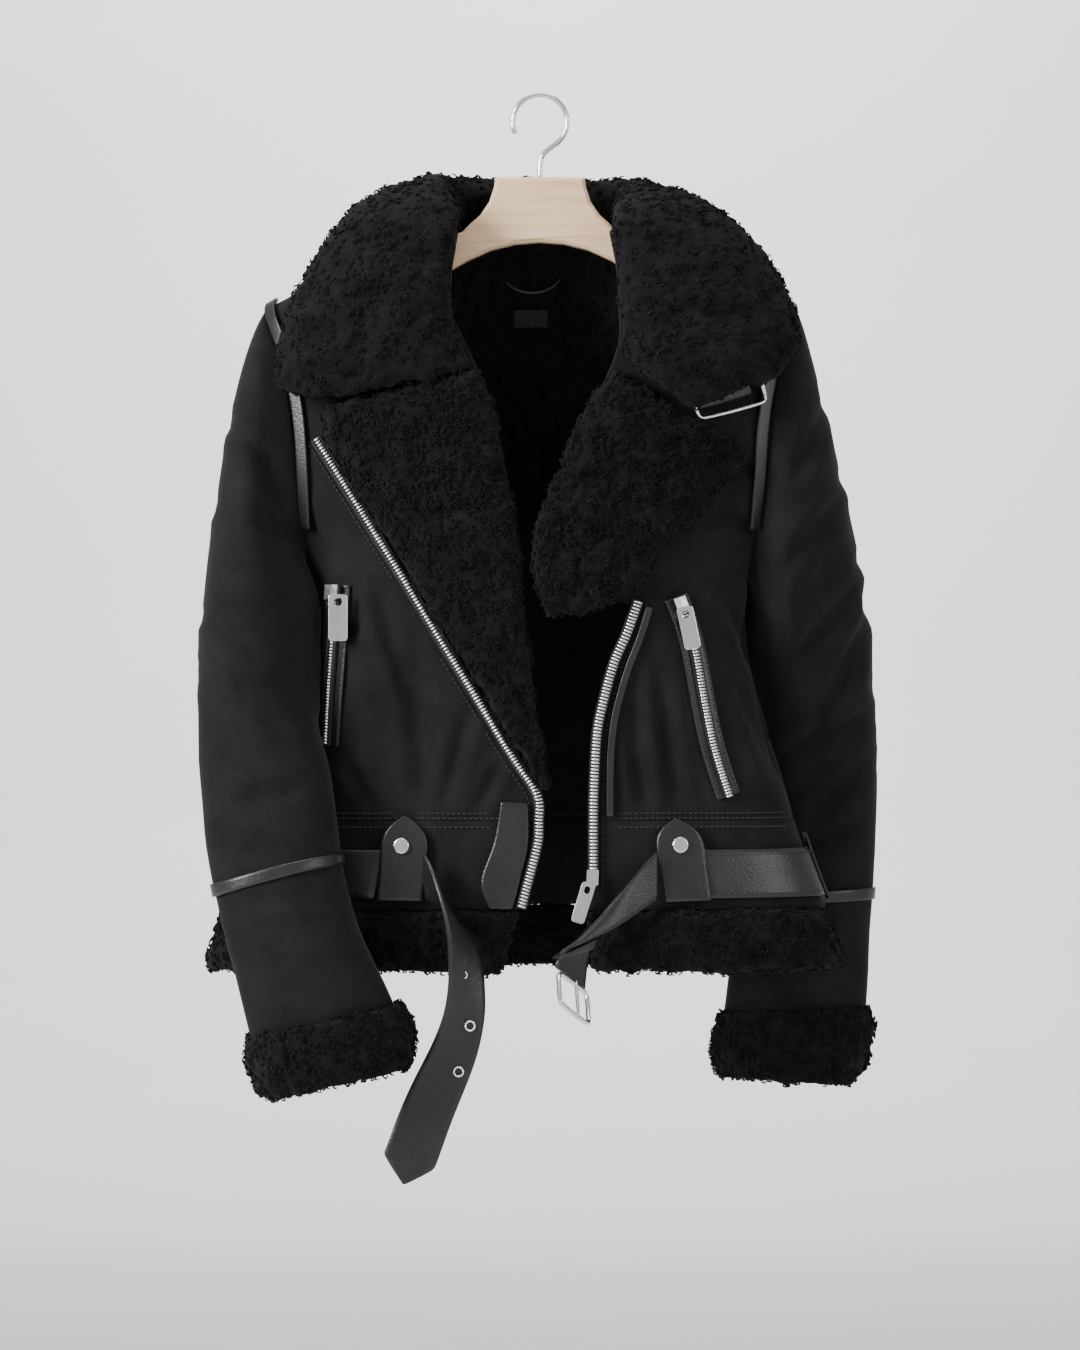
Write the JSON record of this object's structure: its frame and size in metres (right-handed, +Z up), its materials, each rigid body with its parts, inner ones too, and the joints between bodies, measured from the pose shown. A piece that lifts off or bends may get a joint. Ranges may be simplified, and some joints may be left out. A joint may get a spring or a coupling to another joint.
{
  "type": "shearling biker jacket on a wooden hanger",
  "caption": "Dark suede biker jacket with shearling collar, lapels, hem and cuffs, off-centre zip, slanted zip pockets and a loose buckled belt, hung on a wooden hanger.",
  "frame": {"origin": "where the hanger's hook rests on its rod", "axes": "+Z up, the jacket's front faces -Y, the wearer's left is at +X"},
  "size_m": [0.5503, 0.278, 0.8689],
  "materials": {
    "suede": "matt nap",
    "shearling": "curly pile",
    "leather": "smooth, semi-gloss",
    "zip": "bright",
    "steel": "polished",
    "wood": "clear satin",
    "label": "plain, bare"
  },
  "bodies": {
    "jacket": {"armhole_strip_left": "leather", "armhole_strip_right": "leather", "back": "suede", "band_back": "suede", "band_left": "suede", "band_right": "suede", "belt": "leather", "belt_end": "leather", "belt_keeper": "leather", "belt_loop_back": "leather", "belt_loop_left": "leather", "belt_loop_right": "leather", "belt_loop_side_left": "leather", "belt_loop_side_right": "leather", "belt_stud_left": "steel", "belt_stud_right": "steel", "belt_tail": "leather", "collar": "shearling", "collar_buckle": "steel", "collar_strap": "leather", "cuff_left": "shearling", "cuff_right": "shearling", "facing_right": "leather", "front_left": "suede", "front_right": "suede", "hanger_board": "wood", "hanger_hook": "steel", "hanging_loop": "leather", "hem_back": "shearling", "hem_left": "shearling", "hem_right": "shearling", "lapel_left": "shearling", "lapel_right": "shearling", "neck_label": "label", "piping_left": "leather", "pocket_slider_left": "steel", "pocket_slider_right": "steel", "pocket_welt_left": "leather", "pocket_welt_right": "leather", "pocket_zip_left": "zip", "pocket_zip_right": "zip", "sleeve_left": "suede", "sleeve_right": "suede", "sleeve_strip_left": "leather", "sleeve_strip_right": "leather", "slider_front": "steel", "zip_left": "zip", "zip_right": "zip"},
    "pocket_tab_right": {"pocket_tab_right": "steel"},
    "pocket_tab_left": {"pocket_tab_left": "steel"},
    "tab_front": {"tab_front": "steel"},
    "belt_buckle": {"belt_buckle": "steel"},
    "belt_prong": {"belt_prong": "steel"}
  },
  "joints": [
    {"name": "pocket_tab_right_swing", "type": "hinge", "parent": "jacket", "child": "pocket_tab_right", "pos_m": [-0.16, -0.05969, -0.4], "axis": [-1, 0, 0], "range_deg": [0, 150]},
    {"name": "pocket_tab_left_swing", "type": "hinge", "parent": "jacket", "child": "pocket_tab_left", "pos_m": [0.114, -0.0681, -0.41], "axis": [-0.9781, 0, -0.2079], "range_deg": [0, 150]},
    {"name": "tab_front_swing", "type": "hinge", "parent": "jacket", "child": "tab_front", "pos_m": [0.039, -0.0727, -0.628], "axis": [-0.9563, 0, 0.2924], "range_deg": [0, 150]},
    {"name": "belt_buckle_swing", "type": "hinge", "parent": "jacket", "child": "belt_buckle", "pos_m": [0.0255, -0.094, -0.7055], "axis": [0.5622, 0.6844, -0.4644], "range_deg": [-20, 60]},
    {"name": "belt_prong_swing", "type": "hinge", "parent": "belt_buckle", "child": "belt_prong", "pos_m": [0.0255, -0.094, -0.7055], "axis": [-0.5622, -0.6844, 0.4644], "range_deg": [0, 40]}
  ]
}
